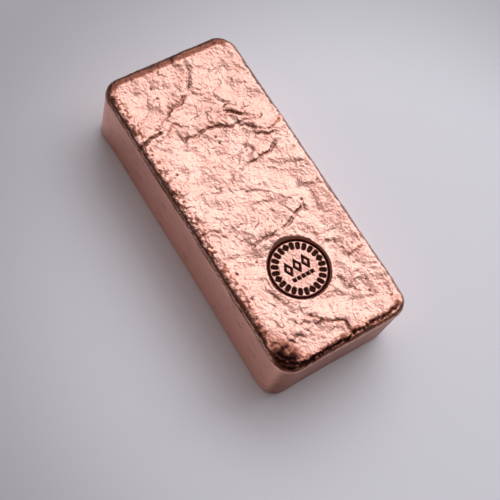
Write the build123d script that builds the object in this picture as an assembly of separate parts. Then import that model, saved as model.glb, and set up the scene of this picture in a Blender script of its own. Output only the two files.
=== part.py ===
"""A small poured copper ingot: one solid block of fine copper, as it leaves an open mould.

The block is widest at the open top and narrows slightly towards the mould's floor. Its upright corners are
round, the poured face rolls over into the walls, and the foot has a small radius. A round punch has been
struck into the poured face near one end. Lengths are in millimetres, +Z is up, the long side lies along X,
and the origin is at the centre of the foot.
"""
from build123d import *

import os
from math import hypot

# The block
LENGTH = 84.0  # at the level of the poured face, as if its edge weren't rolled
WIDTH = 37.3  # the same, across
HEIGHT = 18.4  # foot to poured face
DRAFT_ANGLE = 1.5  # lean of each wall, in degrees
CORNER_RADIUS = 5.3  # upright corners, at the level of the poured face
SHOULDER_RADIUS = 2.0  # roll from the poured face into the walls
FOOT_RADIUS = 1.2

# The punch mark: a bevelled rim, a groove inside it, and a flat field in the middle
MARK_TO_END = 21.25  # its centre, from the near end of the block
MARK_OFF_CENTRE = -0.45  # its centre, across the block from the middle line
MARK_DIAMETER = 16.0
RIM_BEVEL_WIDTH = 0.5
GROOVE_FLOOR_WIDTH = 0.45
GROOVE_INNER_BEVEL_WIDTH = 0.15
GROOVE_DEPTH = 0.8  # below the poured face
FIELD_DEPTH = 0.4  # below the poured face
STROKE_DEPTH = 0.35  # every bar, lozenge and pellet, below the field

# Radial bars around the field, with a turned square pellet in place of every sixth
BAR_STATIONS = 24
STATIONS_PER_PELLET = 6
BAR_LENGTH = 1.6
BAR_WIDTH = 0.8
BAR_TO_GROOVE_GAP = 0.3
PELLET_SIZE = 1.3

# A row of outlined lozenges in the middle of the field, above a row of small pellets
LOZENGE_COUNT = 3
LOZENGE_LENGTH = 3.8  # along X
LOZENGE_GAP = 0.25
LOZENGE_STROKE = 0.45
LOZENGE_ROW_OFFSET = -0.85  # along X, from the mark's centre
LOZENGE_ROW_MARGIN = 1.5  # from each end of the row to the bars
SMALL_PELLET_COUNT = 5
SMALL_PELLET_SIZE = 0.85
SMALL_PELLET_GAP = 0.4
ROW_GAP = 0.55  # between the lozenges' points and the small pellets

FIELD_RADIUS = MARK_DIAMETER / 2 - RIM_BEVEL_WIDTH - GROOVE_FLOOR_WIDTH - GROOVE_INNER_BEVEL_WIDTH
BAR_OUTER_RADIUS = FIELD_RADIUS - BAR_TO_GROOVE_GAP
BAR_INNER_RADIUS = BAR_OUTER_RADIUS - BAR_LENGTH


def drafted_block():
    """The block with its leaning walls, rolled shoulder and rounded foot."""
    open_face = Plane.XY.offset(HEIGHT) * RectangleRounded(LENGTH, WIDTH, CORNER_RADIUS)
    block = extrude(open_face, amount=-HEIGHT, taper=DRAFT_ANGLE)
    block = fillet(block.faces().sort_by(Axis.Z)[-1].edges(), SHOULDER_RADIUS)
    return fillet(block.faces().sort_by(Axis.Z)[0].edges(), FOOT_RADIUS)


def struck_disc():
    """The sunk disc with its groove, turned about the mark's axis, with its top at the poured face."""
    rim = MARK_DIAMETER / 2
    groove_outer = rim - RIM_BEVEL_WIDTH
    groove_inner = groove_outer - GROOVE_FLOOR_WIDTH
    half_section = Polygon(
        (0, 0),
        (rim, 0),
        (groove_outer, -GROOVE_DEPTH),
        (groove_inner, -GROOVE_DEPTH),
        (FIELD_RADIUS, -FIELD_DEPTH),
        (0, -FIELD_DEPTH),
        align=None,
    )
    return revolve(Plane.XZ * half_section, axis=Axis.Z)


def bar_band():
    """Radial bars evenly spaced inside the groove, with pellets between them at even steps."""
    bar = SlotOverall(BAR_LENGTH, BAR_WIDTH)
    pellet = Rot(0, 0, 45) * Rectangle(PELLET_SIZE, PELLET_SIZE)
    strokes = []
    for station, place in enumerate(PolarLocations((BAR_OUTER_RADIUS + BAR_INNER_RADIUS) / 2, BAR_STATIONS)):
        strokes.append(place * (bar if station % STATIONS_PER_PELLET else pellet))
    return strokes


def lozenge(length, width):
    """A lozenge with its points on the two axes."""
    return Polygon((length / 2, 0), (0, width / 2), (-length / 2, 0), (0, -width / 2), align=None)


def lozenge_row():
    """Outlined lozenges side by side, as wide as the field between the bars allows."""
    pitch = (2 * (BAR_INNER_RADIUS - LOZENGE_ROW_MARGIN) + LOZENGE_GAP) / LOZENGE_COUNT
    width = pitch - LOZENGE_GAP
    inside = 1 - 2 * LOZENGE_STROKE * hypot(LOZENGE_LENGTH, width) / (LOZENGE_LENGTH * width)
    outline = lozenge(LOZENGE_LENGTH, width) - lozenge(LOZENGE_LENGTH * inside, width * inside)
    return [Pos(LOZENGE_ROW_OFFSET, 0) * place * outline for place in GridLocations(0, pitch, 1, LOZENGE_COUNT)]


def small_pellet_row():
    """Small square pellets in a line beside the lozenges' points."""
    row_x = LOZENGE_ROW_OFFSET + LOZENGE_LENGTH / 2 + ROW_GAP + SMALL_PELLET_SIZE / 2
    pitch = SMALL_PELLET_SIZE + SMALL_PELLET_GAP
    pellet = Rectangle(SMALL_PELLET_SIZE, SMALL_PELLET_SIZE)
    return [Pos(row_x, 0) * place * pellet for place in GridLocations(0, pitch, 1, SMALL_PELLET_COUNT)]


def punch_mark():
    """Everything that the punch pushes down, ready to cut from the poured face."""
    strokes = bar_band() + lozenge_row() + small_pellet_row()
    strokes = [Pos(0, 0, -FIELD_DEPTH) * extrude(stroke, amount=-STROKE_DEPTH) for stroke in strokes]
    mark_centre = Location((LENGTH / 2 - MARK_TO_END, MARK_OFF_CENTRE, HEIGHT))
    return [mark_centre * cutter for cutter in [struck_disc(), *strokes]]


ingot = drafted_block() - punch_mark()
ingot.label = "copper_ingot"

os.makedirs("parts", exist_ok=True)
export_step(ingot, "parts/copper_ingot.step")

FINE_COPPER_DENSITY = 8.96  # g per cubic centimetre
volume = ingot.volume / 1000  # cubic centimetres
print("volume", round(volume, 2), "cm3, weight", round(volume * FINE_COPPER_DENSITY, 1), "g")
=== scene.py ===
"""The looks of a small poured copper ingot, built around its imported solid.

The ingot is one mesh: an even grid for the poured face, grown ring by ring over the shoulder and down the
walls, and then pushed in and out along its normals. Lengths in this file are millimetres, unless a name or
a property says otherwise, and become metres when the mesh is written. The near walls are those towards -Y
and +X, and the marked end is the one towards +X.
"""

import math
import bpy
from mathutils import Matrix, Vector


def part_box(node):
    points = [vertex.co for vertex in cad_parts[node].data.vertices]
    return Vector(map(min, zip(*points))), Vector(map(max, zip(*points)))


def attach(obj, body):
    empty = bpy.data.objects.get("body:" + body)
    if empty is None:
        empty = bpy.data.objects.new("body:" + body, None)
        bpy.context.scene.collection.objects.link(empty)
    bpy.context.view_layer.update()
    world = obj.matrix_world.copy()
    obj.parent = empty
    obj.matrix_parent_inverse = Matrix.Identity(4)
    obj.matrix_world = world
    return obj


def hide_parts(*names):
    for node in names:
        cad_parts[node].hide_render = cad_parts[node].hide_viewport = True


bl_info = {
    "name": "Copper ingot",
    "version": (1, 0, 0),
    "blender": (4, 5, 0),
    "location": "View3D > Sidebar > Ingot",
    "description": "Builds a poured copper ingot with its folds, its punch mark, its metal and its stage",
    "category": "Add Mesh",
}

from typing import NamedTuple

import bmesh
import bpy
import numpy as np
from mathutils import Matrix, Vector, noise

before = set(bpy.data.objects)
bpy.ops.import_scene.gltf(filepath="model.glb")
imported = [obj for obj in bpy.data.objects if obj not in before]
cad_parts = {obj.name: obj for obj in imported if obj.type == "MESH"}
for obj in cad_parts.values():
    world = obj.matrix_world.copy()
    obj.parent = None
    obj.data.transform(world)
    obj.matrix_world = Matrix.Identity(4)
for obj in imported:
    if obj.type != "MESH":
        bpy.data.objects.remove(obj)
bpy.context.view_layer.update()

NODE = "copper_ingot"
BODY = "root"
MM = 0.001
NODE_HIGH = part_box(NODE)[1]
HALF_LENGTH = NODE_HIGH.x / MM
HALF_WIDTH = NODE_HIGH.y / MM
HEIGHT = NODE_HIGH.z / MM


class Fold(NamedTuple):
    """A crease in the poured face, traced on the plan from the block's centre.

    Width widens the crease. Depth raises the skin on the right of the path, sinks the bottom and darkens it,
    as oxide and painted shade. Step raises the right side further, and oxide_and_shade darkens the bottom
    further.
    """

    path: tuple
    width: float
    depth: float
    step: float = 0.0
    oxide_and_shade: float = 0.0


class Layer(NamedTuple):
    """A layer of noise. Size is the size of its features, on each axis or on all, and shift is its place."""

    size: object
    octaves: int
    shift: float
    height: float = 1.0


class Spot(NamedTuple):
    """An oval place on the plan, with its half sizes."""

    centre: tuple
    radii: tuple


LEFT_END_FOLDS = (
    Fold(
        ((-33.6, 12.3), (-32.8, 12.5), (-31.6, 12.2), (-31, 12.8), (-29.2, 13.2), (-28, 12.7)),
        0.35, 0.12, 0.05,
    ),
    Fold(((-27.2, 15), (-26.8, 13.8), (-26.3, 13.4)), 0.3, 0.06),
    Fold(((-22.4, 15.4), (-22.4, 14.6), (-22.6, 13.8), (-23, 13.2), (-23.6, 12.6)), 0.35, 0.15, 0.05),
    Fold(
        ((-34.6, 8.2), (-33.4, 7.4), (-33.5, 5.8), (-33.2, 5.1), (-31, 4.6), (-28.8, 4.4)), 0.3, 0.08, 0.05
    ),
    Fold(
        ((-22.7, 9.4), (-23.8, 8), (-24.3, 7.1), (-25.5, 5.8), (-26.2, 5.9), (-26.8, 5.4)), 0.35, 0.15, 0.1
    ),
    Fold(((-27.2, 5.9), (-27.9, 5.5), (-28.4, 4.8), (-29, 4.3)), 0.35, 0.22, 0.05),
    Fold(((-26.6, 5.6), (-28.2, 4.1), (-28.5, 3), (-29, 2), (-29.7, 1.2), (-30, 0.4)), 0.5, 0.12, 0.1),
    Fold(((-40.2, 7.4), (-39.3, 6.6), (-38.6, 6), (-38.2, 5.7)), 0.28, 0.35),
    Fold(((-39.3, 6), (-39.9, 4.6), (-40.4, 3.8)), 0.35, 0.2),
    Fold(
        ((-31.6, 0.4), (-33.2, 1.5), (-34.4, 2.2), (-36.2, 3.5), (-37.6, 3.5), (-39.2, 3.9)),
        0.9, 0.22, 0.25,
    ),
    Fold(((-31.2, -0.1), (-32.4, 0.9), (-33.3, 1.9)), 0.35, 0.2, 0.05),
    Fold(((-38.2, 0.5), (-39.8, 0.6), (-41, 1)), 0.35, 0.25, 0.1),
    Fold(((-37, 0.3), (-36.4, 0.2), (-36.3, -0.6), (-36.1, -1.5), (-35.5, -2)), 0.3, 0.18),
    Fold(
        ((-30.6, -0.6), (-29, -2.6), (-28.8, -4), (-28.6, -5.4), (-28, -6.6), (-27.2, -7.8)), 1.1, 0.4, 0.15
    ),
    Fold(
        ((-27.3, -7.6), (-26.6, -9), (-26, -10.2), (-25.3, -10.7), (-25, -12), (-24.6, -12.9)), 0.35, 0.38
    ),
    Fold(((-29.3, -5.8), (-29, -7), (-28.4, -7.5)), 0.35, 0.28),
    Fold(((-25.4, -7.7), (-25.8, -8.1), (-26.2, -8.5)), 0.4, 0.25),
    Fold(((-31.6, -1.8), (-32.9, -1.5)), 0.25, 0.18),
    Fold(((-34.8, -1.7), (-32.8, -2.1), (-32.6, -2.6), (-32.7, -3.6)), 0.35, 0.12),
    Fold(((-34.6, -2.8), (-36.3, -2.8)), 0.3, 0.1),
    Fold(((-37.2, -3.5), (-35.2, -4.3), (-34.7, -5), (-34.8, -6.4), (-34.9, -7.4)), 0.35, 0.15, 0.05),
    Fold(((-38.4, -4.3), (-39.4, -3.4), (-40.4, -3.1)), 0.45, 0.35, 0.1),
    Fold(((-37.7, -6.6), (-38.3, -7.2), (-39.2, -7.6)), 0.3, 0.12),
    Fold(((-34.9, -8.6), (-34, -9.2), (-33, -10), (-31.8, -10.8), (-30.8, -12.1)), 0.35, 0.14, -0.05),
    Fold(((-38.4, -12.2), (-37.6, -12.5), (-36.8, -12.8)), 0.3, 0.1),
    Fold(((-39, -11.3), (-40.4, -10.3)), 0.5, 0.2),
)
MIDDLE_FOLDS = (
    Fold(
        ((-15.8, 18), (-14.9, 16.6), (-14.3, 16.1), (-13.7, 14.7), (-13.4, 13.6), (-13.5, 11.9)),
        0.35, 0.4, 0.1,
    ),
    Fold(((-13.2, 18), (-14.3, 16.3)), 0.4, 0.25),
    Fold(((-15.6, 16.1), (-15, 15), (-14.8, 14.2), (-14.1, 13.4)), 0.35, 0.2),
    Fold(((-12.1, 13.9), (-12.2, 12.2), (-12.6, 11.4), (-13.3, 10.3), (-13.8, 8.8)), 0.35, 0.38, 0.1),
    Fold(((-11.7, 15.5), (-11.2, 14.4), (-11.2, 13.6), (-11.4, 12.9)), 0.3, 0.2),
    Fold(((-9.9, 12.6), (-8.8, 11), (-8.2, 9.6), (-8.1, 8.6), (-8.2, 7.8), (-8, 6.6)), 0.35, 0.4, 0.12),
    Fold(((-8.3, 10.1), (-7.7, 9.3), (-7.2, 7.6)), 0.25, 0.2),
    Fold(((-8, 8), (-7.6, 7), (-6.8, 5.9)), 0.25, 0.28, 0.05),
    Fold(((-7, 5.7), (-7.5, 4.4), (-7.5, 3.2), (-7.3, 2.2), (-6.8, 0.6), (-6.4, -0.6)), 0.35, 0.18, 0.12),
    Fold(
        ((-18.5, 13.9), (-17.8, 13.4), (-17.2, 12), (-17.6, 10.4), (-18.1, 8.4), (-17.9, 6)), 0.4, 0.25, 0.1
    ),
    Fold(
        ((-18, 6.6), (-18, 4.6), (-19.3, 2.6), (-19.9, 0.6), (-20.1, -2), (-19.9, -3.6)), 0.55, 0.45, 0.15
    ),
    Fold(((-19.9, -3), (-19.5, -4.2), (-19.7, -5.2), (-19.9, -6.4), (-19.8, -7.8)), 0.45, 0.4, 0.1),
    Fold(((-13.7, 11.5), (-15.2, 9.9), (-16.3, 8.6), (-17, 8), (-17.2, 6.8)), 0.55, 0.3, 0.15),
    Fold(((-18.4, 10.1), (-19.8, 10), (-21.4, 10)), 0.35, 0.28, 0.05),
    Fold(((-19.2, 10), (-20.1, 8.4), (-21.5, 7), (-21.9, 6.3), (-22.3, 5.4)), 0.4, 0.5, 0.2),
    Fold(((-22.1, 5.4), (-21.7, 4.4), (-21.7, 3.6), (-21.2, 2.1)), 0.35, 0.25, 0.05),
    Fold(((-20.3, 1.6), (-20.9, 1), (-21.4, 0.1)), 0.35, 0.35),
    Fold(((-21.2, -0.3), (-21.2, -1.6), (-21.5, -2.3)), 0.35, 0.2),
    Fold(((-9.4, 7.8), (-9.8, 6.6), (-11.2, 5.8), (-12.8, 4.4)), 0.6, 0.18, 0.08),
    Fold(((-2.2, 16), (-2.8, 14), (-3.6, 12), (-3.8, 11.2)), 0.5, 0.12, 0.08),
    Fold(((-5, 14.6), (-4.4, 11.4)), 0.6, 0.08),
    Fold(((-9.4, 16.9), (-8, 16.3)), 0.3, 0.1),
    Fold(((0.9, 17.6), (0.2, 16.8), (-1.5, 15.6)), 0.35, 0.12, 0.05),
    Fold(((-10.7, 0.8), (-9.9, -0.6), (-9.5, -1.5)), 0.3, 0.12, 0.05),
    Fold(((-6.8, -1.1), (-6.4, -2.3)), 0.3, 0.18),
    Fold(((-6.1, -1.8), (-5.3, -3.6), (-4.9, -4.4), (-3.5, -4.8)), 0.35, 0.22, 0.05),
    Fold(((-5.4, -4.6), (-4.6, -6)), 0.3, 0.14),
    Fold(((-5.5, -6.4), (-4.8, -6.4), (-4.2, -7.1), (-4.5, -8), (-4.8, -8.7)), 0.25, 0.3),
    Fold(((-6.1, -10.9), (-4.7, -11.6), (-4, -12.8)), 0.3, 0.16),
    Fold(((-3.6, -12.6), (-2.7, -13.2)), 0.3, 0.12),
    Fold(((-11, -12.3), (-10.6, -12), (-10.1, -12.6)), 0.3, 0.14),
    Fold(((-22.2, -4.6), (-22.8, -5.5)), 0.3, 0.3),
    Fold(((-22.9, -6.3), (-24, -6.7), (-24.8, -7.6), (-23.9, -8.9), (-22.6, -10.6)), 0.35, 0.4, 0.05),
    Fold(((-22.8, -10.4), (-22.2, -11.6), (-22.1, -13.4), (-21.4, -14.3)), 0.35, 0.3, -0.1),
    Fold(((-23, -9), (-22.1, -9.7), (-21.8, -11.2)), 0.4, 0.25),
    Fold(((-24, -10.4), (-23.7, -13.8), (-23.3, -15.4), (-22.8, -16.8), (-22.1, -18.6)), 0.42, 0.5, 0.12),
    Fold(((-19.6, -11.8), (-18.9, -12.5)), 0.35, 0.1),
)
RIGHT_END_FOLDS = (
    Fold(((9.2, 9), (8.3, 9.1), (7.2, 9.6)), 0.3, 0.35),
    Fold(((8, 9), (8.1, 8.2), (8.4, 7.2), (8.8, 6.2)), 0.32, 0.5, 0.1),
    Fold(((8.9, 6), (9.5, 4.8), (10, 3.9), (10.4, 2.4), (10.4, 1)), 0.4, 0.3, 0.15),
    Fold(((10.5, 1.2), (10.7, -0.4), (11.2, -1.6), (10.8, -2.6)), 0.4, 0.25, 0.1),
    Fold(((11.5, -1), (10.9, -2.7), (11, -4.4), (11, -6.2), (11.3, -8)), 0.6, 0.32, 0.15),
    Fold(((7.9, -7.2), (7, -7.9), (6.6, -8.8), (5.9, -10.1), (6.6, -10.2)), 0.4, 0.2, 0.08),
    Fold(((6.6, -12), (5.8, -12.9), (5.8, -13.8)), 0.3, 0.16),
    Fold(((4.9, -12.8), (4, -13.4), (3.5, -14.3), (3.5, -15.2)), 0.28, 0.3),
    Fold(((22.9, 16.6), (23.2, 15), (23.5, 13.2), (23.7, 11.4)), 0.28, 0.35, -0.05),
    Fold(((24, 14.8), (24.1, 13.2)), 0.3, 0.15),
    Fold(((27.3, 13.6), (28.2, 12.2), (28, 10.4), (28.7, 9), (29.2, 8.3)), 0.35, 0.2, 0.05),
    Fold(((29.6, 8.2), (30.2, 7.8), (30.9, 7.2)), 0.3, 0.18),
    Fold(((14.7, 7.4), (15.3, 7.7), (16, 7.9)), 0.28, 0.25),
    Fold(((19.8, 10.9), (18.8, 10.4)), 0.3, 0.15),
    Fold(((23.4, 9.6), (22.6, 9), (21.6, 9)), 0.35, 0.15),
    Fold(((18.9, 15.5), (17.8, 15.9)), 0.3, 0.1),
    Fold(((34.1, 16.2), (34.6, 15.6), (36, 15.4)), 0.3, 0.12),
    Fold(((30.8, 17), (32, 16.5)), 0.3, 0.1),
    Fold(((30.4, 10.9), (29.8, 10.6)), 0.22, 0.15),
    Fold(((33.4, 6.7), (33.3, 6.2)), 0.28, 0.3),
    Fold(((40.6, 1.4), (38.6, 1.3), (37, 1.5), (36.2, 0.4), (35.8, -0.8)), 0.5, 0.42, 0.15),
    Fold(((35.9, -0.6), (35.3, -1.8), (34.5, -2.8), (34.5, -4.2), (34.5, -4.9)), 0.48, 0.42, 0.15),
    Fold(((34.2, -3), (32.8, -4.4), (32, -5.2), (31.4, -6.8)), 0.6, 0.25, 0.15),
    Fold(((33.7, -5.8), (33, -6.5), (32.6, -7.5), (33, -8.5)), 0.35, 0.32, 0.1),
    Fold(((38.3, -4.8), (38, -5.4)), 0.25, 0.25),
    Fold(((36.5, -6.6), (36.3, -7.8), (36.6, -8.4)), 0.28, 0.2),
    Fold(((36.2, -8.4), (35.3, -9.4), (34.8, -10.6), (34, -11.4), (33.4, -11.8)), 0.35, 0.25, 0.1),
    Fold(((36, -11.7), (35.2, -12.4), (34.2, -13), (33.6, -13.3)), 0.3, 0.25, 0.1),
    Fold(((31.7, -12.4), (30.6, -12.9), (29.4, -13.5)), 0.3, 0.25, 0.1),
    Fold(((32.2, -14.6), (31.4, -15.4), (30.2, -15.8)), 0.35, 0.22, 0.05),
    Fold(((28.9, -8.2), (27, -8.7), (25.4, -9.7), (23, -10.4), (22, -11.2)), 0.7, 0.14, 0.12),
    Fold(((23, -10.8), (23.6, -12), (23.9, -12.6)), 0.3, 0.12),
    Fold(((25.8, -13.8), (25.2, -14.6), (24.7, -15)), 0.3, 0.16),
    Fold(((19.9, -13.6), (19.6, -14.8), (18.2, -15.4)), 0.35, 0.16, 0.05),
    Fold(((12.8, -13), (12, -13.6), (11.2, -13.9)), 0.3, 0.1),
    Fold(((40, -13.1), (38.9, -13.4), (37, -13.4)), 0.3, 0.25),
    Fold(((38.7, -16.4), (36.4, -16.6)), 0.25, 0.2),
    Fold(((34.8, -15), (35, -16.2), (35.2, -17.6), (35.3, -18.8)), 0.35, 0.4),
    Fold(((34.4, -15.6), (33.4, -16.4), (32.2, -17)), 0.6, 0.4, 0.1),
    Fold(((36.2, -14.7), (35.2, -15.1)), 0.35, 0.3),
)
# The dark ragged line on the roll above the near short wall, as oxide and a painted dark reflection, and the
# crumples at its near corner
END_RIM_FOLDS = (
    Fold(((39.3, 15.6), (40, 14.5), (40.1, 13), (40.5, 12), (40.5, 10), (40.6, 8)), 0.7, 0.5, 0.0, 0.3),
    Fold(
        ((40.5, 9), (40.3, 7), (40.4, 6), (40.6, 4.8), (40.4, 4), (40.2, 3), (40.1, 2.2), (40.7, 1)),
        0.8, 0.55, 0.0, 0.4,
    ),
    Fold(
        ((40.5, 1.4), (41.1, 0), (40.7, -2), (40.8, -4), (40.7, -6), (40.8, -8), (40.9, -10)),
        0.8, 0.55, 0.0, 0.45,
    ),
    Fold(
        ((40.8, -8.4), (40.9, -10), (41, -12), (40.4, -14), (39.4, -15.8), (38, -17.2), (36.4, -18)),
        1.1, 0.6, 0.0, 0.5,
    ),
    Fold(((39.8, -12.4), (39, -14.4), (37.6, -16), (36.2, -16.9)), 0.6, 0.4, 0.1),
    Fold(((37.4, -13.6), (37.2, -15.2), (36.4, -16.8)), 0.35, 0.35, 0.1),
)
# Short crumples in the skin where it meets the near long wall
NEAR_RIM_FOLDS = (
    Fold(((-30, -15.9), (-27, -16.2), (-24.6, -16)), 0.4, 0.1),
    Fold(((-25.5, -15.4), (-26.3, -15.4)), 0.25, 0.15),
    Fold(((-18.7, -17), (-18.1, -18.2)), 0.28, 0.25),
    Fold(((-16.8, -15.2), (-16.2, -16.8)), 0.25, 0.12),
    Fold(((-13.8, -14.4), (-14.3, -16.2)), 0.35, 0.14),
    Fold(((-15.4, -17), (-14.8, -18)), 0.25, 0.15),
    Fold(((-12.6, -16.6), (-11.6, -17.6)), 0.3, 0.18),
    Fold(((-8.2, -16.4), (-8.8, -17.3), (-9.2, -18.6)), 0.42, 0.4),
    Fold(((-7.3, -14.7), (-7.2, -15.6), (-7.7, -17)), 0.4, 0.35),
    Fold(((-5.4, -15), (-6.3, -15.3)), 0.25, 0.18),
    Fold(((-5.3, -16.1), (-4.6, -17.2), (-4.2, -18.4)), 0.3, 0.28),
    Fold(((-3.6, -16.3), (-3.6, -17.8)), 0.28, 0.25),
    Fold(((-2.9, -17), (-2.3, -18.4)), 0.26, 0.25),
    Fold(((0.9, -14.4), (0.9, -15.6)), 0.28, 0.28),
    Fold(((0.3, -14.8), (0.2, -15.4), (-1.2, -15.8)), 0.25, 0.3),
    Fold(((-1.4, -16.8), (-0.6, -17.4), (0.6, -17)), 0.3, 0.2),
    Fold(((1.9, -16.4), (1.7, -18.4)), 0.3, 0.3),
    Fold(((3.8, -16.4), (3.7, -18.4)), 0.3, 0.25),
    Fold(((4.6, -16.8), (4.8, -18.4)), 0.3, 0.28),
    Fold(((10, -16.9), (9.4, -17.8)), 0.3, 0.22),
    Fold(((14.3, -16.6), (14.9, -18.4)), 0.3, 0.25),
    Fold(((17.2, -16.4), (16.4, -18)), 0.3, 0.2),
    Fold(((18.4, -16.2), (18.9, -18)), 0.3, 0.25),
    Fold(((20.4, -15.6), (20.3, -17), (20.9, -18.4)), 0.35, 0.32),
    Fold(((26.9, -16.4), (26.6, -18)), 0.35, 0.3),
    Fold(((29.9, -16), (30.3, -17.8)), 0.3, 0.22),
)
PITS = (
    (3.6, 15.9), (6.1, 9.8), (21.4, 14.4), (15.4, -14.6),
    (22.2, -14.7), (14.8, -8.7), (26.8, -7.6), (31.4, 8.4),
    (30.6, 12.2), (33.3, 11.3), (36.9, 15.3), (-17.4, -0.1),
    (-15.7, 0), (-12.8, -13.8), (-35.6, -7.5), (-32.7, -7.4),
)
FOLDS = LEFT_END_FOLDS + MIDDLE_FOLDS + RIGHT_END_FOLDS + END_RIM_FOLDS + NEAR_RIM_FOLDS

# Grid and rings of the plain block
SHOULDER_RINGS = 12
FOOT_RINGS = 5
FOOT_INSET = 1.0
FINE_MARGIN = 0.7  # the grid is twice as fine up to this far outside the mark

# How a fold falls off on both sides of its path
FOLD_REACH = 4.0
FOLD_END_SHARE = 0.12  # of the path's length, over which each end fades
FOLD_END_STRENGTH = 0.3
FOLD_LEAST_WIDTH = 0.3
FOLD_FLECK = 0.4  # how much fine noise widens and narrows a fold
FOLD_SINK_BACK = 2.6  # distance over which the raised side sinks back
FOLD_LIP_PLACE = 0.6  # distance of the low side's small lip
FOLD_LIP_SHARE = 0.35
FOLD_BOTTOM_SHARE = 0.35  # how much of its depth a fold's sharp bottom sinks
FOLD_DARK = 0.46  # oxide and painted shade of a fold of depth DARK_DEPTH
DARK_DEPTH = 0.5
DARK_LIMIT = 2.0  # most that a deeper fold's stain grows
FOLD_DARK_FLECK = 0.8

# Noise of the poured skin and the walls
SKIN_WARP = (
    (Layer(7.0, 2, 5.0, 2.2), Layer(0.9, 2, 6.0, 0.2)),
    (Layer(7.0, 2, 9.0, 2.2), Layer(0.9, 2, 8.0, 0.2)),
)
FOLD_STRAY = (
    (Layer(1.3, 1, 51.0, 0.2), Layer(0.5, 2, 53.0, 0.13)),
    (Layer(1.3, 1, 55.0, 0.2), Layer(0.5, 2, 57.0, 0.13)),
)
FLECK = Layer(0.6, 2, 31.0)
SWELL = Layer((6.0, 10.0, 9.0), 2, 1.7)
CRUMPLE = Layer((4.4, 6.5, 5.0), 2, 3.3)
WRINKLE = Layer((1.3, 3.0, 2.0), 2, 17.1)
BASIN = Layer((3.6, 4.6, 5.0), 1, 27.9)
RIPPLE = Layer((0.8, 1.6, 2.0), 2, 7.7)
GRAIN = Layer(0.5, 2, 4.4)
STREAK = Layer((3.5, 0.9, 1.0), 2, 15.5)
TEETH = Layer((0.7, 1.8, 1.0), 2, 21.0)
PEBBLE = Layer(1.1, 2, 12.3)
SEAM = Layer(6.0, 2, 3.1, 0.3)
WALL_WAVE = Layer((7.0, 7.0, 17.5), 2, 2.2)
RAGGED = (Layer(1.6, 3, 41.0, 0.3), Layer(0.6, 2, 43.0, 0.15))
MOTTLE = Layer(0.9, 2, 47.0)

# Places on the plan
GRAINY = (Spot((2, 0), (14, 14)), Spot((24, 12), (12, 8)))
STREAKED = Spot((32, -11.5), (8, 5))
SUNK_CORNER = Spot((40.2, -17.2), (5.0, 3.6))
DARKER_CORNER = Spot((38.2, -15.6), (4.3, 3.1))
TOOTHED = Spot((-2, -17), (12, 4))
STREAK_TURN = math.radians(38)
PIT_RADIUS = 0.28
PIT_DEPTH = 0.25
PIT_DARK = 0.9

# The punch mark's strokes, from the mark's centre
STATIONS = 24
STATIONS_PER_PELLET = 6
BAR_INNER, BAR_OUTER, BAR_HALF_WIDTH = 4.9, 6.75, 0.5
PELLET_HALF = 0.65
LOZENGE_HALF_LENGTH, LOZENGE_HALF_WIDTH, LOZENGE_STROKE = 1.9, 1.08, 0.45
LOZENGE_ROW_X, LOZENGE_PITCH = -0.85, 2.42
SMALL_PELLET_HALF, SMALL_PELLET_ROW_X, SMALL_PELLET_PITCH = 0.42, 2.02, 1.25
STROKE_SOFT = 0.1

# The seam where the skin ends on the walls
SEAM_PLACE = 0.85  # below the face, as a share of the shoulder's radius
SEAM_SOFT = 0.12

# The stage, in metres, with each direction's azimuth and elevation in degrees
TABLE_HALF = 3.0
# Centre and edges of the pool of light painted on the table
LIT_CENTRE = (31 * MM, 22 * MM, 0)
LIT_EDGE, DIM_EDGE = 55 * MM, 118 * MM
KEY_TOWARD, KEY_DISTANCE, KEY_SIZE = (207, 43), 0.6, (0.84, 0.49)
PALE_TOWARD, PALE_SPREAD = (216, 62), (0.6, 0.98)
SHADE_TOWARD, SHADE_SPREAD = (40, 45), (0.5, 0.85)
SENSOR_WIDTH = 36.0  # millimetres


class IngotBlockSettings(bpy.types.PropertyGroup):
    """Grid and sizes of the plain block"""

    cell: bpy.props.FloatProperty(
        name="Grid cell",
        description="Spacing of the poured face's grid, in millimetres",
        default=0.25,
        min=0.1,
    )
    corner_radius: bpy.props.FloatProperty(
        name="Corner radius",
        description="Radius of the upright corners at the top, in millimetres",
        default=5.2,
    )
    shoulder_radius: bpy.props.FloatProperty(
        name="Shoulder radius",
        description="Roll from the poured face into the walls, in millimetres",
        default=1.8,
    )
    foot_radius: bpy.props.FloatProperty(
        name="Foot radius", description="Roll from the walls into the foot, in millimetres", default=1.2
    )
    draft: bpy.props.FloatProperty(
        name="Draft", description="Lean of the walls", default=math.radians(1.5), subtype="ANGLE"
    )
    wall_rings: bpy.props.IntProperty(
        name="Wall rings", description="Rings of faces down the walls", default=16
    )


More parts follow.
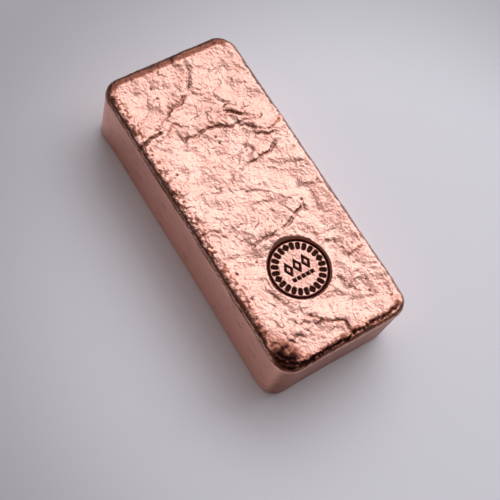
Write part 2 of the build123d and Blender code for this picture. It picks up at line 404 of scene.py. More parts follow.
class PouredSkinSettings(bpy.types.PropertyGroup):
    """Heights of the relief on the poured face and the walls"""

    swell: bpy.props.FloatProperty(
        name="Swell",
        description="Height of the broad waves of the poured face, in millimetres",
        default=0.25,
    )
    crumple: bpy.props.FloatProperty(
        name="Crumple",
        description="Height of the lobes between the skin's small valleys, in millimetres",
        default=0.32,
    )
    basin: bpy.props.FloatProperty(
        name="Basin",
        description="Depth of the round basins between sharp crests, in millimetres",
        default=0.3,
    )
    wrinkle: bpy.props.FloatProperty(
        name="Wrinkle", description="Height of the sharp small ridges, in millimetres", default=0.08
    )
    ripple: bpy.props.FloatProperty(
        name="Ripple", description="Height of the small ripples, in millimetres", default=0.04
    )
    grain: bpy.props.FloatProperty(
        name="Grain", description="Height of the finest modelled grain, in millimetres", default=0.04
    )
    streak: bpy.props.FloatProperty(
        name="Streak",
        description="Height of the slanting streaks near the marked end, in millimetres",
        default=0.25,
    )
    corner_dip: bpy.props.FloatProperty(
        name="Corner dip",
        description="How far the skin sinks toward the near corner, in millimetres",
        default=0.5,
    )
    teeth: bpy.props.FloatProperty(
        name="Teeth",
        description="Depth of the small crumples along the near rim, in millimetres",
        default=0.25,
    )
    pebble: bpy.props.FloatProperty(
        name="Pebble",
        description="Height of the pebbles on the rolled shoulder, in millimetres",
        default=0.07,
    )
    wall_wave: bpy.props.FloatProperty(
        name="Wall wave", description="Depth of the slow waves in the walls, in millimetres", default=0.08
    )


class PunchMarkSettings(bpy.types.PropertyGroup):
    """Place and depths of the struck disc"""

    centre: bpy.props.FloatVectorProperty(
        name="Centre",
        description="Centre of the mark on the plan, in millimetres",
        default=(20.75, -0.45),
        size=2,
    )
    radius: bpy.props.FloatProperty(
        name="Radius", description="Outer radius of the struck disc, in millimetres", default=8.0
    )
    field_depth: bpy.props.FloatProperty(
        name="Field depth",
        description="Depth of the flat field under the face, in millimetres",
        default=0.4,
    )
    groove_depth: bpy.props.FloatProperty(
        name="Groove depth",
        description="Depth of the ring groove under the face, in millimetres",
        default=0.9,
    )
    stroke_depth: bpy.props.FloatProperty(
        name="Stroke depth",
        description="Depth of bars and lozenges under the field, in millimetres",
        default=0.35,
    )


class CopperSettings(bpy.types.PropertyGroup):
    """Tones of the metal"""

    bright: bpy.props.FloatVectorProperty(
        name="Bright copper",
        description="Clean skin of the poured face",
        default=(0.69, 0.405, 0.338),
        subtype="COLOR",
    )
    warm: bpy.props.FloatVectorProperty(
        name="Warm copper",
        description="Redder patches of the skin",
        default=(0.62, 0.327, 0.262),
        subtype="COLOR",
    )
    # Also the tone of the painted shade on the rims, in hollows and beside folds
    brown: bpy.props.FloatVectorProperty(
        name="Brown copper",
        description="Light oxide on the rims and in small hollows",
        default=(0.31, 0.12, 0.08),
        subtype="COLOR",
    )
    # Darkest tone, for oxide and painted shade in deep folds and strokes, and for the dark pits
    tarnish_and_shade: bpy.props.FloatVectorProperty(
        name="Tarnish",
        description="Oxide held in folds and strokes",
        default=(0.028, 0.009, 0.007),
        subtype="COLOR",
    )
    wall: bpy.props.FloatVectorProperty(
        name="Wall copper",
        description="Duller skin from the mould",
        default=(0.93, 0.50, 0.40),
        subtype="COLOR",
    )


class IngotStageSettings(bpy.types.PropertyGroup):
    """Table, light, surroundings and camera"""

    floor_colour: bpy.props.FloatVectorProperty(
        name="Floor colour",
        description="Pale table near the ingot",
        default=(0.92, 0.94, 1.0),
        subtype="COLOR",
    )
    # Dim outer tone of the painted pool of light
    floor_painted_dim: bpy.props.FloatVectorProperty(
        name="Far floor colour",
        description="The table away from the light",
        default=(0.55, 0.56, 0.595),
        subtype="COLOR",
    )
    key_power: bpy.props.FloatProperty(
        name="Key power", description="Power of the large soft lamp, in watts", default=1.74
    )
    room_colour: bpy.props.FloatVectorProperty(
        name="Room colour",
        description="Tint of the surroundings",
        default=(1.0, 0.97, 1.04),
        subtype="COLOR",
        max=2,
    )
    shade_colour: bpy.props.FloatVectorProperty(
        name="Shade colour",
        description="Warmer tint behind the camera",
        default=(0.9, 0.7, 0.62),
        subtype="COLOR",
    )
    room_low: bpy.props.FloatProperty(
        name="Room low", description="Dimmest plain surroundings", default=0.17
    )
    room_high: bpy.props.FloatProperty(
        name="Room high", description="Palest surroundings, far overhead", default=0.92
    )
    aim: bpy.props.FloatVectorProperty(
        name="Aim",
        description="Point on the table that the camera looks at, in millimetres",
        default=(6.73, -1.06),
        size=2,
    )
    camera_distance: bpy.props.FloatProperty(
        name="Camera distance", description="In millimetres", default=302.6
    )
    camera_azimuth: bpy.props.FloatProperty(
        name="Azimuth",
        description="Camera's turn about the upright axis",
        default=math.radians(32.81),
        subtype="ANGLE",
    )
    camera_elevation: bpy.props.FloatProperty(
        name="Elevation",
        description="Camera's height above the table",
        default=math.radians(63.55),
        subtype="ANGLE",
    )
    camera_roll: bpy.props.FloatProperty(
        name="Roll",
        description="Camera's turn about its own axis",
        default=math.radians(27.1),
        subtype="ANGLE",
    )
    lens: bpy.props.FloatProperty(name="Lens", description="Focal length in millimetres", default=87.81)


def smooth_step(low, high, value):
    """0 below low, 1 above high, and a smooth rise between them. With low above high it falls instead."""
    t = np.clip((value - low) / (high - low), 0, 1)
    return t * t * (3 - 2 * t)


def noise_places(points, layer):
    """Where the noise is read for each point, in feature sizes and shifted to the layer's own place."""
    offset = Vector((layer.shift, -layer.shift, 2 * layer.shift))
    return [Vector(p) + offset for p in points / np.array(layer.size)]


def noise_at(points, layer):
    """Fractal noise at each point, from about -1 to 1."""
    roughness, lacunarity = 0.8, 2.0
    places = noise_places(points, layer)
    return np.array([noise.fractal(place, roughness, lacunarity, layer.octaves) for place in places])


def noise_sum(points, layers):
    """Several layers of noise, each at its own height."""
    return sum(layer.height * noise_at(points, layer) for layer in layers)


def crumple_at(points, layer):
    """Noise with rounded lobes between sharp valleys, from 0 in the valleys to about 1."""
    hard = True
    places = noise_places(points, layer)
    return np.array([noise.turbulence(place, layer.octaves, hard) for place in places])


def within(x, y, spot):
    """1 at the centre of an oval spot, and fading to 0 beyond its half sizes."""
    across, along = (x - spot.centre[0]) / spot.radii[0], (y - spot.centre[1]) / spot.radii[1]
    return np.exp(-(across**2) - along**2)


def line_at(distance, place, half_width, sharpness=2):
    """1 along a line at this distance, and fading to 0 beyond its half width."""
    return np.exp(-(np.abs((distance - place) / half_width) ** sharpness))


# The block


def rounded(x, y, half_x, half_y, radius):
    """Moves a point of a rectangle's corner square onto the round corner, with the way outwards there."""
    over_x = abs(x) - (half_x - radius)
    over_y = abs(y) - (half_y - radius)
    if over_x <= 0 or over_y <= 0:
        out = (math.copysign(1, x), 0) if half_x - abs(x) < half_y - abs(y) else (0, math.copysign(1, y))
        return x, y, out
    reach = math.hypot(over_x, over_y)
    shrink = max(over_x, over_y) / reach
    new_x = math.copysign(half_x - radius + over_x * shrink, x)
    new_y = math.copysign(half_y - radius + over_y * shrink, y)
    return new_x, new_y, (math.copysign(over_x / reach, x), math.copysign(over_y / reach, y))


def wall_profile(block):
    """Rings from the poured face's edge to the foot: outset, height and the tilt of the surface's normal."""
    shoulder, foot, lean = block.shoulder_radius, block.foot_radius, block.draft
    rings = []
    for tilt in np.linspace(math.pi / 2, -lean, SHOULDER_RINGS + 1)[1:]:
        rings.append((shoulder * math.cos(tilt), HEIGHT - shoulder + shoulder * math.sin(tilt), tilt))
    top_out, top_height, _ = rings[-1]
    foot_height = foot - foot * math.sin(lean)
    foot_out = top_out - (top_height - foot_height) * math.tan(lean)
    for share in np.linspace(0, 1, block.wall_rings + 1)[1:]:
        out = top_out + (foot_out - top_out) * share
        rings.append((out, top_height + (foot_height - top_height) * share, -lean))
    foot_centre = foot_out - foot * math.cos(lean)
    for tilt in np.linspace(-lean, -math.pi / 2, FOOT_RINGS + 1)[1:]:
        rings.append((foot_centre + foot * math.cos(tilt), foot + foot * math.sin(tilt), tilt))
    return rings


def base_block(block, mark):
    """The plain block as a bmesh, with each vertex's way outwards and tilt kept for the relief."""
    inset = block.shoulder_radius
    half_x, half_y = HALF_LENGTH - inset, HALF_WIDTH - inset
    radius = block.corner_radius - inset
    bm = bmesh.new()
    outward = bm.verts.layers.float_vector.new("outward")
    start = bm.verts.layers.float_vector.new("start")
    tilt_layer = bm.verts.layers.float.new("tilt")
    bmesh.ops.create_grid(
        bm, x_segments=round(2 * half_x / block.cell), y_segments=round(2 * half_y / block.cell), size=1
    )
    bmesh.ops.scale(bm, vec=(half_x, half_y, 1), verts=bm.verts)
    for vert in bm.verts:
        x, y, out = rounded(vert.co.x, vert.co.y, half_x, half_y, radius)
        vert.co = (x, y, HEIGHT)
        vert[outward] = (*out, 0)
        vert[start] = vert.co
        vert[tilt_layer] = math.pi / 2

    centre = Vector((*mark.centre, HEIGHT))
    fine = mark.radius + FINE_MARGIN
    close = [e for e in bm.edges if all((v.co - centre).length < fine for v in e.verts)]
    bmesh.ops.subdivide_edges(bm, edges=close, cuts=1, use_grid_fill=True)

    rim = [e for e in bm.edges if e.is_boundary]
    for out, height, tilt in wall_profile(block):
        grown = bmesh.ops.extrude_edge_only(bm, edges=rim)["geom"]
        for vert in (g for g in grown if isinstance(g, bmesh.types.BMVert)):
            vert.co = vert[start] + float(out) * vert[outward]
            vert.co.z = height
            vert[tilt_layer] = tilt
        rim = [g for g in grown if isinstance(g, bmesh.types.BMEdge) and g.is_boundary]
    foot = bmesh.ops.edgeloop_fill(bm, edges=rim)["faces"]
    bmesh.ops.inset_region(bm, faces=foot, thickness=FOOT_INSET, use_even_offset=True)
    bmesh.ops.recalc_face_normals(bm, faces=bm.faces)
    return bm


# The relief


def smooth_path(points, step=0.35):
    """A Catmull-Rom curve through the points, with a point about every step."""
    pts = np.array(points, float)
    ends = np.vstack([2 * pts[0] - pts[1], pts, 2 * pts[-1] - pts[-2]])
    out = [pts[0]]
    for i in range(len(pts) - 1):
        a, b, c, d = ends[i : i + 4]
        count = max(1, math.ceil(np.linalg.norm(c - b) / step))
        for t in np.linspace(0, 1, count + 1)[1:]:
            square = (2 * a - 5 * b + 4 * c - d) * t**2
            cube = (3 * b - a - 3 * c + d) * t**3
            out.append(0.5 * (2 * b + (c - a) * t + square + cube))
    return np.array(out)


def nearest_on_path(x, y, path):
    """Distance to the path, its side (1 on the right, -1 on the left), and the way along it from 0 to 1."""
    best = np.full(len(x), np.inf)
    side = np.zeros(len(x))
    along = np.zeros(len(x))
    lengths = np.r_[0, np.cumsum(np.linalg.norm(np.diff(path, axis=0), axis=1))]
    for i in range(len(path) - 1):
        a, d = path[i], path[i + 1] - path[i]
        t = np.clip(((x - a[0]) * d[0] + (y - a[1]) * d[1]) / (d @ d), 0, 1)
        dx, dy = x - a[0] - t * d[0], y - a[1] - t * d[1]
        distance = np.hypot(dx, dy)
        closer = distance < best
        best[closer] = distance[closer]
        side[closer] = np.sign(dx * d[1] - dy * d[0])[closer]
        along[closer] = ((lengths[i] + t * (lengths[i + 1] - lengths[i])) / lengths[-1])[closer]
    return best, side, along


def fold_height(fold, distance, right, width):
    """A fold's section: a raised side that sinks back on the right, a small lip, and a sharp bottom."""
    wall = (1 - line_at(distance, 0, width, 1.5)) * np.exp(-distance / FOLD_SINK_BACK)
    lip = FOLD_LIP_SHARE * distance / FOLD_LIP_PLACE * np.exp(1 - distance / FOLD_LIP_PLACE)
    rise = (0.12 + fold.depth + 1.4 * fold.step) * (0.5 + fold.step / 0.2) / 1.5
    bottom = FOLD_BOTTOM_SHARE * fold.depth * line_at(distance, 0, 0.25 + 0.25 * fold.width, 1.4)
    return rise * np.where(right, wall, lip) - bottom


def fold_oxide_and_shade(fold, distance, right, width):
    """Oxide and painted shade in a fold: a dark line in its bottom, and a wider painted shade, strongest on
    the raised right side.
    """
    strength = FOLD_DARK * min(DARK_LIMIT, (fold.depth / DARK_DEPTH) ** 1.2) + fold.oxide_and_shade
    # Painted shade on the raised side's steep wall, fainter on the low side
    shade = np.where(right, 0.45, 0.15) * line_at(distance, 0, width)
    return strength * (line_at(distance, 0, 0.16 + 0.3 * width) + shade)


def fold_relief(x, y, fleck):
    """Height, and oxide with painted shade, that the folds give each point. Fleck is fine noise that breaks
    up the darkening.
    """
    height = np.zeros(len(x))
    stain_and_shade = np.zeros(len(x))
    for fold in FOLDS:
        path = smooth_path(fold.path)
        low, high = path.min(0) - FOLD_REACH, path.max(0) + FOLD_REACH
        near = np.flatnonzero((x > low[0]) & (x < high[0]) & (y > low[1]) & (y < high[1]))
        distance, side, along = nearest_on_path(x[near], y[near], path)
        ends = smooth_step(0, FOLD_END_SHARE, along) * smooth_step(0, FOLD_END_SHARE, 1 - along)
        taper = FOLD_END_STRENGTH + (1 - FOLD_END_STRENGTH) * ends
        width = (FOLD_LEAST_WIDTH + fold.width) * (0.6 + 0.4 * taper) * (1 + FOLD_FLECK * fleck[near])
        height[near] += taper * fold_height(fold, distance, side > 0, width)
        dark = taper * (1 + FOLD_DARK_FLECK * fleck[near]) * fold_oxide_and_shade(fold, distance, side > 0, width)
        stain_and_shade[near] = np.maximum(stain_and_shade[near], dark)
    return height, stain_and_shade


def stroke_mask(x, y):
    """1 inside the bars, lozenges and pellets, 0 outside, with x and y from the mark's centre."""
    strokes = []
    for station in range(STATIONS):
        angle = 2 * math.pi * station / STATIONS
        middle = x * math.cos(angle) + y * math.sin(angle) - (BAR_INNER + BAR_OUTER) / 2
        across = -x * math.sin(angle) + y * math.cos(angle)
        if station % STATIONS_PER_PELLET:
            straight = np.maximum(np.abs(middle) - (BAR_OUTER - BAR_INNER) / 2 + BAR_HALF_WIDTH, 0)
            strokes.append(np.hypot(straight, across) - BAR_HALF_WIDTH)
        else:
            strokes.append((np.abs(middle) + np.abs(across)) / math.sqrt(2) - PELLET_HALF)
    long, wide = LOZENGE_HALF_LENGTH, LOZENGE_HALF_WIDTH
    for place in (-1, 0, 1):
        over = np.abs(x - LOZENGE_ROW_X) * wide + np.abs(y - place * LOZENGE_PITCH) * long - long * wide
        edge = over / math.hypot(long, wide)
        strokes.append(np.abs(edge + LOZENGE_STROKE / 2) - LOZENGE_STROKE / 2)
    for place in (-2, -1, 0, 1, 2):
        from_middle = np.maximum(np.abs(x - SMALL_PELLET_ROW_X), np.abs(y - place * SMALL_PELLET_PITCH))
        strokes.append(from_middle - SMALL_PELLET_HALF)
    return 1 - smooth_step(-STROKE_SOFT, STROKE_SOFT, np.minimum.reduce(strokes))


def mark_relief(x, y, mark):
    """Depth of the struck disc under the face, how much it flattens the skin, and its oxide and painted
    shade.
    """
    dx, dy = x - mark.centre[0], y - mark.centre[1]
    past_rim = np.hypot(dx, dy) - mark.radius
    burr = 0.05
    # Depths by the way past the rim, from the field over the groove and the bevel to the burr
    section = (
        (-1.1, mark.field_depth),
        (-0.95, mark.groove_depth),
        (-0.6, mark.groove_depth),
        (-0.4, 0.25),
        (-0.2, 0.05),
        (-0.05, -burr),
        (0.3, -burr),
        (1.0, 0),
    )
    strokes = stroke_mask(dx, dy)
    depth = np.interp(past_rim, *zip(*section)) + strokes * mark.stroke_depth
    flat = 1 - smooth_step(-0.2, 0.5, past_rim)
    # Oxide and painted shade in the ring groove and strokes, a dark line at the rim, and a faint dulling of
    # the field
    groove = line_at(past_rim, -0.75, 0.33, 4)
    rim_line = 0.35 * line_at(past_rim, -0.1, 0.12)
    field = 0.08 * (1 - smooth_step(-1.1, -0.9, past_rim))
    return depth, flat, np.maximum.reduce([groove, rim_line, strokes, field])


def skin_relief(co, skin):
    """Height of the poured skin, from broad waves, traced folds, crumples and grain, and its oxide and
    painted shade.
    """
    flat = co * (1, 1, 0)
    level = np.zeros(len(co))
    warped = flat + np.stack([noise_sum(flat, SKIN_WARP[0]), noise_sum(flat, SKIN_WARP[1]), level], 1)
    x = flat[:, 0] + noise_sum(flat, FOLD_STRAY[0])
    y = flat[:, 1] + noise_sum(flat, FOLD_STRAY[1])

    height, stain_and_shade = fold_relief(x, y, noise_at(flat, FLECK))
    height += skin.swell * noise_at(flat, SWELL)
    calm = 1 - 0.4 * smooth_step(-8, -22, x)
    height += skin.crumple * calm * crumple_at(warped, CRUMPLE)
    height -= skin.wrinkle * crumple_at(warped, WRINKLE)
    height -= skin.basin * crumple_at(warped, BASIN)
    height += skin.ripple * noise_at(warped, RIPPLE)
    grainy = 0.5 + sum(within(x, y, spot) for spot in GRAINY)
    height += skin.grain * grainy * noise_at(flat, GRAIN)
    for pit in PITS:
        hole = within(x, y, Spot(pit, (PIT_RADIUS, PIT_RADIUS)))
        height -= PIT_DEPTH * hole
        # Darkens the pits
        stain_and_shade = np.maximum(stain_and_shade, PIT_DARK * hole)

    cos, sin = math.cos(STREAK_TURN), math.sin(STREAK_TURN)
    turned = np.stack([x * cos + y * sin, y * cos - x * sin, level], 1)
    corner = within(x, y, SUNK_CORNER)
    height += skin.streak * crumple_at(turned, STREAK) * (within(x, y, STREAKED) + corner)
    height -= skin.corner_dip * corner
    near_rim = smooth_step(-13.5, -16, flat[:, 1])
    height -= skin.teeth * crumple_at(flat, TEETH) * near_rim * (0.4 + within(x, y, TOOTHED))
    return height, stain_and_shade


def rim_oxide_and_shade(arc, outward, x, ragged, mottle):
    """Oxide and painted shade along the rims. Arc is the way past the flat face's edge, and negative on the
    face.
    """
    near, far, right, left = -outward[:, 1], outward[:, 1], outward[:, 0], -outward[:, 0]
    shifted = arc + ragged

    def band(side, low, high, strength, soft=0.15):
        past_low = smooth_step(low - soft, low + soft, shifted)
        past_high = smooth_step(high - soft, high + soft, shifted)
        return strength * smooth_step(0.3, 0.8, side) * past_low * (1 - past_high)

    marked_end = smooth_step(10, 32, x)
    return np.maximum.reduce([
        # Along the near long wall: the face's edge, darker at the marked end, as oxide and a painted dark
        # reflection, and two thin lines on the roll, the lower one a painted shadow under the seam's lip
        band(near, -1.2, 0.9, 0.6, 0.4) * mottle,
        band(near, -0.8, 1.3, 0.75, 0.4) * marked_end * (0.4 + 0.6 * mottle),
        band(near, 1.0, 1.5, 0.6),
        band(near, 2.05, 2.5, 0.6),
        # At the marked end: the face's edge and the roll, as oxide and a painted dark reflection, and
        # painted shade on the wall down to its foot
        band(right, -0.9, 0.9, 0.5, 0.5) * mottle,
        band(right, 0.6, 2.0, 0.42, 0.3),
        band(right, 3.0, 40.0, 0.42, 1.2),
        # On the rolls of the two far walls: oxide and a painted dark reflection
        band(left, -0.8, 3.4, 0.68, 0.4),
        band(far, 0.6, 3.0, 0.18),
    ])


def wall_lean(co, outward):
    """How far the feet of the near walls stand outside or inside their draft."""
    near = smooth_step(0.3, 0.8, -outward[:, 1])
    right = smooth_step(0.3, 0.8, outward[:, 0]) * (1 - near)
    long_wall = np.interp(co[:, 0], (-38, -32, 0, 34), (0, -0.45, -0.1, 0.4))
    short_wall = np.interp(co[:, 1], (-18, -6), (0.4, 0))
    return (1 - co[:, 2] / HEIGHT) * (near * long_wall + right * short_wall)


def cavity_of(mesh, height, rounds=6, kept=0.3):
    """How far each vertex lies below the mean of the surface about it."""
    edges = np.zeros(len(mesh.edges) * 2, dtype=np.int32)
    mesh.edges.foreach_get("vertices", edges)
    first, second = edges[0::2], edges[1::2]
    size = len(height)
    count = np.bincount(first, minlength=size) + np.bincount(second, minlength=size)
    mean = height.copy()
    for _ in range(rounds):
        total = np.bincount(first, mean[second], size) + np.bincount(second, mean[first], size)
        mean = kept * mean + (1 - kept) * total / count
    return mean - height


def plan_distance(x, y, half_x, half_y, radius):
    """Distance outside a rectangle with round corners, and negative inside it."""
    over_x = np.abs(x) - (half_x - radius)
    over_y = np.abs(y) - (half_y - radius)
    outside = np.hypot(np.maximum(over_x, 0), np.maximum(over_y, 0))
    return outside + np.minimum(np.maximum(over_x, over_y), 0) - radius


def read_attribute(mesh, name, kind, width):
    """A vertex attribute's numbers, one row for each vertex."""
    values = np.zeros(len(mesh.vertices) * width)
    mesh.attributes[name].data.foreach_get(kind, values)
    return values.reshape(-1, width)


def write_attribute(mesh, name, values):
    """One number for each vertex, for the metal's nodes."""
    attribute = mesh.attributes.new(name, "FLOAT", "POINT")
    attribute.data.foreach_set("value", values.astype(np.float32))


class PlainBlock(NamedTuple):
    """The plain block's vertices. Down is the depth below the face, and arc the way past its flat edge."""

    co: np.ndarray
    outward: np.ndarray
    normal: np.ndarray
    down: np.ndarray
    arc: np.ndarray


def read_block(mesh, block):
    """Reads the plain block back from the mesh, and removes the attributes that held it."""
    co = read_attribute(mesh, "position", "vector", 3)
    outward = read_attribute(mesh, "outward", "vector", 3)
    start = read_attribute(mesh, "start", "vector", 3)
    tilt = read_attribute(mesh, "tilt", "value", 1)[:, 0]
    for name in ("outward", "start", "tilt"):
        mesh.attributes.remove(mesh.attributes[name])
    normal = outward * np.cos(tilt)[:, None]
    normal[:, 2] = np.sin(tilt)
    roll = block.shoulder_radius
    down = HEIGHT - co[:, 2]
    half_x, half_y = HALF_LENGTH - roll, HALF_WIDTH - roll
    arc = plan_distance(start[:, 0], start[:, 1], half_x, half_y, block.corner_radius - roll)
    arc += roll * (math.pi / 2 - tilt) + np.maximum(down - roll, 0)
    return PlainBlock(co, outward, normal, down, arc)


def settled(relief, plain):
    """The relief, lowered so that its highest folds reach the solid's face. The rims are lowered less."""
    top = plain.down < 0.01
    middle, highest = np.percentile(relief[top], (50, 99.8))
    lowered = relief - middle - (highest - middle) * (1 - 0.85 * smooth_step(-8, 1.4, plain.arc))
    above_foot = smooth_step(0.0, 1.0, plain.co[:, 2])
    return lowered * above_foot


def surface_oxide_and_shade(mesh, plain, moved, face, in_folds, face_share):
    """Oxide and painted shade in the folds and hollows and along the rims, and a darker patch at the near
    corner and toward the left end.
    """
    x, y = moved[:, 0], moved[:, 1]
    ragged = noise_sum(moved, RAGGED)
    mottle = 0.15 + smooth_step(-0.1, 0.35, noise_at(moved, MOTTLE))
    rims = rim_oxide_and_shade(plain.arc, plain.outward, x, ragged, mottle)
    # A darker patch at the near corner
    corner = (1.25 + 2.2 * ragged) * within(x, y, DARKER_CORNER) * face_share
    # Oxide and painted shade in the hollows of the relief
    hollows = 0.27 * smooth_step(0.03, 0.16, cavity_of(mesh, face))
    # Darker towards the left end
    left_end = 0.12 * smooth_step(-5, -25, x)
    return np.maximum.reduce([in_folds * face_share, rims, corner, hollows, left_end])


def relieve(mesh, scene):
    """Pushes the plain block's vertices in and out, and writes the attributes that the metal reads."""
    skin, block = scene.poured_skin, scene.ingot_block
    plain = read_block(mesh, block)
    co, down = plain.co, plain.down
    seam = SEAM_PLACE * block.shoulder_radius + noise_sum(co * (1, 1, 0), (SEAM,))
    skin_share = 1 - smooth_step(-SEAM_SOFT, SEAM_SOFT, down - seam)
    face_share = 1 - smooth_step(0.1, 0.9, down / block.shoulder_radius)

    on_face = face_share > 0.99
    struck = mark_relief(co[:, 0], co[:, 1], scene.punch_mark)
    depth, flat, mark_oxide_and_shade = (on_face * part for part in struck)
    face, in_folds = skin_relief(co, skin)
    face = face * face_share * (1 - 0.95 * flat)
    face += skin.pebble * noise_at(co, PEBBLE) * smooth_step(-1.5, 0.5, plain.arc)
    wall = skin.wall_wave * (noise_at(co, WALL_WAVE) - 0.4) - 0.05 + wall_lean(co, plain.outward)
    relief = settled(skin_share * face + (1 - skin_share) * wall - depth, plain)
    past_seam = down - seam
    lip = 0.06 * line_at(past_seam, -0.25, 0.22) - 0.12 * line_at(past_seam, 0.1, 0.16)
    relief += lip * (down > 0.2)

    low, high = (-HALF_LENGTH, -HALF_WIDTH, 0), (HALF_LENGTH, HALF_WIDTH, HEIGHT)
    moved = np.clip(co + plain.normal * relief[:, None], low, high)
    mesh.vertices.foreach_set("co", (moved * MM).ravel())
    mesh.update()

    stain_and_shade = surface_oxide_and_shade(mesh, plain, moved, face * skin_share, in_folds, face_share) * (1 - flat)
    write_attribute(mesh, "tarnish_and_shade", np.clip(np.maximum(stain_and_shade, mark_oxide_and_shade), 0, 1))
    write_attribute(mesh, "skin", skin_share)


# The metal


class Nodes:
    """Short calls for one tree's nodes. They take sockets or plain values, and give the output socket."""

    def __init__(self, tree):
        self.tree = tree

    def feed(self, socket, value):
        """Links a socket, or sets its value. A colour comes without its alpha."""
        if isinstance(value, bpy.types.NodeSocket):
            self.tree.links.new(value, socket)
        elif socket.type == "RGBA":
            socket.default_value = (*value, 1)
        else:
            socket.default_value = value

    def add(self, kind, output, inputs, **settings):
        """Makes a node with these settings and inputs, and gives one of its outputs."""
        node = self.tree.nodes.new(kind)
        for name, value in settings.items():
            setattr(node, name, value)
        for name, value in inputs.items():
            self.feed(node.inputs[name], value)
        return node.outputs[output]

    def place(self, space):
        return self.add("ShaderNodeTexCoord", space, {})

    def attribute(self, name):
        return self.add("ShaderNodeAttribute", "Fac", {}, attribute_name=name)

    def noise(self, place, scale, detail, roughness):
        """Noise with this many features to a metre."""
        inputs = {"Vector": place, "Scale": scale, "Detail": detail, "Roughness": roughness}
        return self.add("ShaderNodeTexNoise", "Fac", inputs)

    def ranged(self, value, low, high, to_low, to_high):
        """A value between low and high, taken smoothly to a value between the other two."""
        inputs = {"Value": value, "From Min": low, "From Max": high, "To Min": to_low, "To Max": to_high}
        return self.add("ShaderNodeMapRange", "Result", inputs, interpolation_type="SMOOTHSTEP")

    def mixed(self, factor, first, second):
        """The first colour where the factor is 0, and the second where it is 1."""
        inputs = {"Factor": factor, "A": first, "B": second}
        return self.add("ShaderNodeMix", "Result", inputs, data_type="RGBA")

    def maths(self, operation, first, second):
        return self.add("ShaderNodeMath", "Value", {0: first, 1: second}, operation=operation)

    def vector_maths(self, operation, output, first, second):
        return self.add("ShaderNodeVectorMath", output, {0: first, 1: second}, operation=operation)


def new_material(name):
    """A material with its nodes' short calls and its shader's inputs."""
    material = bpy.data.materials.new(name)
    material.use_nodes = True
    return material, Nodes(material.node_tree), material.node_tree.nodes["Principled BSDF"].inputs


def copper_colour(nodes, colours, place, skin, oxide_and_shade):
    """Bright skin with redder patches, duller walls, and brown to nearly black where the oxide and painted
    shade lie.
    """
    patches = nodes.ranged(nodes.noise(place, 160, 4, 0.55), 0.4, 0.62, 0, 0.5)
    mottle = nodes.ranged(nodes.noise(place, 1500, 3, 0.6), 0.42, 0.62, 0, 0.5)
    face = nodes.mixed(nodes.maths("ADD", patches, mottle), colours.bright, colours.warm)
    clean = nodes.mixed(skin, colours.wall, face)
    browned = nodes.mixed(nodes.ranged(oxide_and_shade, 0, 0.55, 0, 1), clean, colours.brown)
    return nodes.mixed(nodes.ranged(oxide_and_shade, 0.4, 1, 0, 1), browned, colours.tarnish_and_shade)


def copper_bump(nodes, place, skin):
    """A fine grain all over, and thin ridges on the poured skin."""
    grain = nodes.noise(place, 1700, 2, 0.5)
    ridged = {"Scale": 270, "Detail": 4, "Roughness": 0.7, "Offset": 0.9, "Gain": 1.5, "Distortion": 0.9}
    ridges = nodes.add(
        "ShaderNodeTexNoise", "Fac", {"Vector": place, **ridged}, noise_type="RIDGED_MULTIFRACTAL"
    )
    lines = nodes.maths("MULTIPLY", ridges, nodes.maths("MULTIPLY", skin, 0.3))
    height = nodes.maths("ADD", grain, lines)
    return nodes.add("ShaderNodeBump", "Normal", {"Strength": 1, "Distance": 0.14 * MM, "Height": height})


def copper_metal(colours):
    """Poured copper: bright skin, duller walls with drag marks, oxide and painted shade in the folds and on
    the rims, and a fine grain.
    """
    material, nodes, shader = new_material("poured_copper")
    place = nodes.place("Object")
    skin = nodes.attribute("skin")
    on_wall = nodes.maths("SUBTRACT", 1, skin)
    stretched = nodes.vector_maths("MULTIPLY", "Vector", place, (260, 260, 2600))
    drag = nodes.noise(stretched, 1, 2, 0.5)
    slits = nodes.maths("MULTIPLY", nodes.ranged(drag, 0.665, 0.71, 0, 0.6), on_wall)
    cloudy = nodes.maths("MULTIPLY", nodes.ranged(drag, 0.4, 0.7, 0, 0.1), on_wall)
    # Oxide and painted shade from the mesh, with the walls' drag slits and cloudy oxide
    oxide_and_shade = nodes.maths("MAXIMUM", nodes.attribute("tarnish_and_shade"), nodes.maths("ADD", slits, cloudy))
    polish = nodes.ranged(nodes.noise(place, 400, 5, 0.55), 0.3, 0.7, 0.11, 0.2)
    dulled = nodes.maths("ADD", nodes.maths("MULTIPLY", oxide_and_shade, 0.25), nodes.maths("MULTIPLY", on_wall, 0.2))
    nodes.feed(shader["Metallic"], 1)
    nodes.feed(shader["Base Color"], copper_colour(nodes, colours, place, skin, oxide_and_shade))
    nodes.feed(shader["Roughness"], nodes.maths("ADD", polish, dulled))
    nodes.feed(shader["Normal"], copper_bump(nodes, place, skin))
    return material


# The stage


def table_material(stage):
    """A matt pale table with a painted pool of light: its tone falls away from a place beside the ingot,
    with a faint cloud.
    """
    material, nodes, shader = new_material("pale_table")
    place = nodes.place("Object")
    away = nodes.vector_maths("DISTANCE", "Value", place, LIT_CENTRE)
    # Painted pool of light: the table darkens with distance from its centre
    dim = nodes.ranged(away, LIT_EDGE, DIM_EDGE, 0, 1)
    nodes.feed(shader["Specular IOR Level"], 0.2)
    nodes.feed(shader["Base Color"], nodes.mixed(dim, stage.floor_colour, stage.floor_painted_dim))
    cloud = nodes.maths("MULTIPLY", nodes.noise(place, 5, 3, 0.5), 0.1)
    nodes.feed(shader["Roughness"], nodes.maths("ADD", cloud, 0.55))
    return material


def add_table(stage):
    """The level table under the ingot."""
    mesh = bpy.data.meshes.new("table")
    bm = bmesh.new()
    bmesh.ops.create_grid(bm, x_segments=1, y_segments=1, size=TABLE_HALF)
    bm.to_mesh(mesh)
    bm.free()
    mesh.materials.append(table_material(stage))
    table = bpy.data.objects.new("table", mesh)
    bpy.context.scene.collection.objects.link(table)


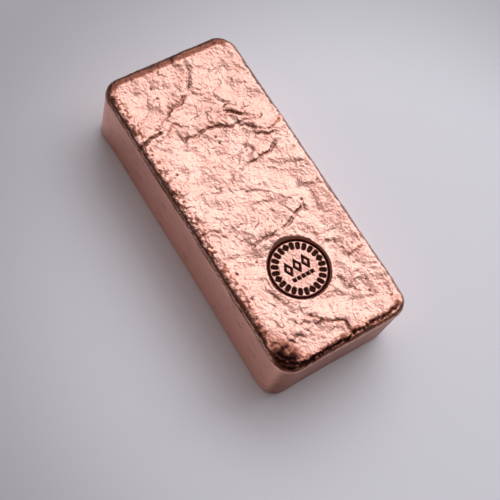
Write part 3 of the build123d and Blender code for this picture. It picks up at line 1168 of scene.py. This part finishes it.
def direction(azimuth, elevation):
    """Unit vector toward a place in the studio, with the azimuth counted from -Y toward +X, in degrees."""
    a, e = math.radians(azimuth), math.radians(elevation)
    return Vector((math.sin(a) * math.cos(e), -math.cos(a) * math.cos(e), math.sin(e)))


def facing(toward):
    """The turn of a lamp or camera that stands in this direction and looks back."""
    return toward.to_track_quat("Z", "Y").to_matrix().to_4x4()


def add_key_lamp(power):
    """One large soft lamp, high on the side away from the camera."""
    data = bpy.data.lights.new("key", "AREA")
    data.shape = "RECTANGLE"
    data.size, data.size_y = KEY_SIZE
    data.energy = power
    lamp = bpy.data.objects.new("key", data)
    bpy.context.scene.collection.objects.link(lamp)
    toward = direction(*KEY_TOWARD)
    lamp.matrix_world = Matrix.Translation(toward * KEY_DISTANCE) @ facing(toward)


def studio_world(stage):
    """Surroundings that are palest overhead on the far side, and warmer where the photographer stands."""
    world = bpy.data.worlds.new("studio")
    world.use_nodes = True
    nodes = Nodes(world.node_tree)
    background = world.node_tree.nodes["Background"].inputs
    place = nodes.place("Generated")

    def lobe(toward, spread, to_low, to_high):
        nearness = nodes.vector_maths("DOT_PRODUCT", "Value", place, direction(*toward))
        return nodes.ranged(nearness, *spread, to_low, to_high)

    shade = lobe(SHADE_TOWARD, SHADE_SPREAD, 0, 1)
    nodes.feed(background["Color"], nodes.mixed(shade, stage.room_colour, stage.shade_colour))
    nodes.feed(background["Strength"], lobe(PALE_TOWARD, PALE_SPREAD, stage.room_low, stage.room_high))
    bpy.context.scene.world = world


def add_camera(stage):
    """The photograph's camera."""
    data = bpy.data.cameras.new("camera")
    data.sensor_width = SENSOR_WIDTH
    data.lens = stage.lens
    camera = bpy.data.objects.new("camera", data)
    bpy.context.scene.collection.objects.link(camera)
    back = direction(math.degrees(stage.camera_azimuth), math.degrees(stage.camera_elevation))
    place = (Vector((*stage.aim, 0)) + back * stage.camera_distance) * MM
    turn = facing(back) @ Matrix.Rotation(stage.camera_roll, 4, "Z")
    camera.matrix_world = Matrix.Translation(place) @ turn
    bpy.context.scene.camera = camera


class MESH_OT_copper_ingot(bpy.types.Operator):
    """Build the ingot: the block, its poured skin, its punch mark and its metal"""

    bl_idname = "mesh.copper_ingot_add"
    bl_label = "Copper ingot"

    def execute(self, context):
        scene = context.scene
        mesh = bpy.data.meshes.new("poured_ingot")
        bm = base_block(scene.ingot_block, scene.punch_mark)
        bm.to_mesh(mesh)
        bm.free()
        relieve(mesh, scene)
        for polygon in mesh.polygons:
            polygon.use_smooth = True
        mesh.materials.append(copper_metal(scene.copper))
        piece = bpy.data.objects.new("poured_ingot", mesh)
        scene.collection.objects.link(piece)
        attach(piece, BODY)
        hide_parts(NODE)
        return {"FINISHED"}


class SCENE_OT_ingot_stage(bpy.types.Operator):
    """Lay the pale table, hang the soft lamp and place the camera"""

    bl_idname = "scene.ingot_stage"
    bl_label = "Ingot stage"

    def execute(self, context):
        stage = context.scene.ingot_stage
        add_table(stage)
        add_key_lamp(stage.key_power)
        studio_world(stage)
        add_camera(stage)
        context.scene.view_settings.view_transform = "Standard"
        return {"FINISHED"}


class VIEW3D_PT_ingot(bpy.types.Panel):
    """Lists the ingot's operators and their settings"""

    bl_label = "Copper ingot"
    bl_idname = "VIEW3D_PT_ingot"
    bl_space_type = "VIEW_3D"
    bl_region_type = "UI"
    bl_category = "Ingot"

    def draw(self, context):
        layout = self.layout
        layout.operator(MESH_OT_copper_ingot.bl_idname)
        layout.operator(SCENE_OT_ingot_stage.bl_idname)
        for name in SETTINGS:
            group = getattr(context.scene, name)
            box = layout.box()
            for prop in group.bl_rna.properties:
                if prop.identifier not in ("name", "rna_type"):
                    box.prop(group, prop.identifier)


SETTINGS = {
    "ingot_block": IngotBlockSettings,
    "poured_skin": PouredSkinSettings,
    "punch_mark": PunchMarkSettings,
    "copper": CopperSettings,
    "ingot_stage": IngotStageSettings,
}
CLASSES = (*SETTINGS.values(), MESH_OT_copper_ingot, SCENE_OT_ingot_stage, VIEW3D_PT_ingot)


def register():
    for cls in CLASSES:
        bpy.utils.register_class(cls)
    for name, group in SETTINGS.items():
        setattr(bpy.types.Scene, name, bpy.props.PointerProperty(type=group))


def unregister():
    for name in SETTINGS:
        delattr(bpy.types.Scene, name)
    for cls in reversed(CLASSES):
        bpy.utils.unregister_class(cls)


def main():
    register()
    bpy.ops.mesh.copper_ingot_add()
    bpy.ops.scene.ingot_stage()


if __name__ == "__main__":
    main()
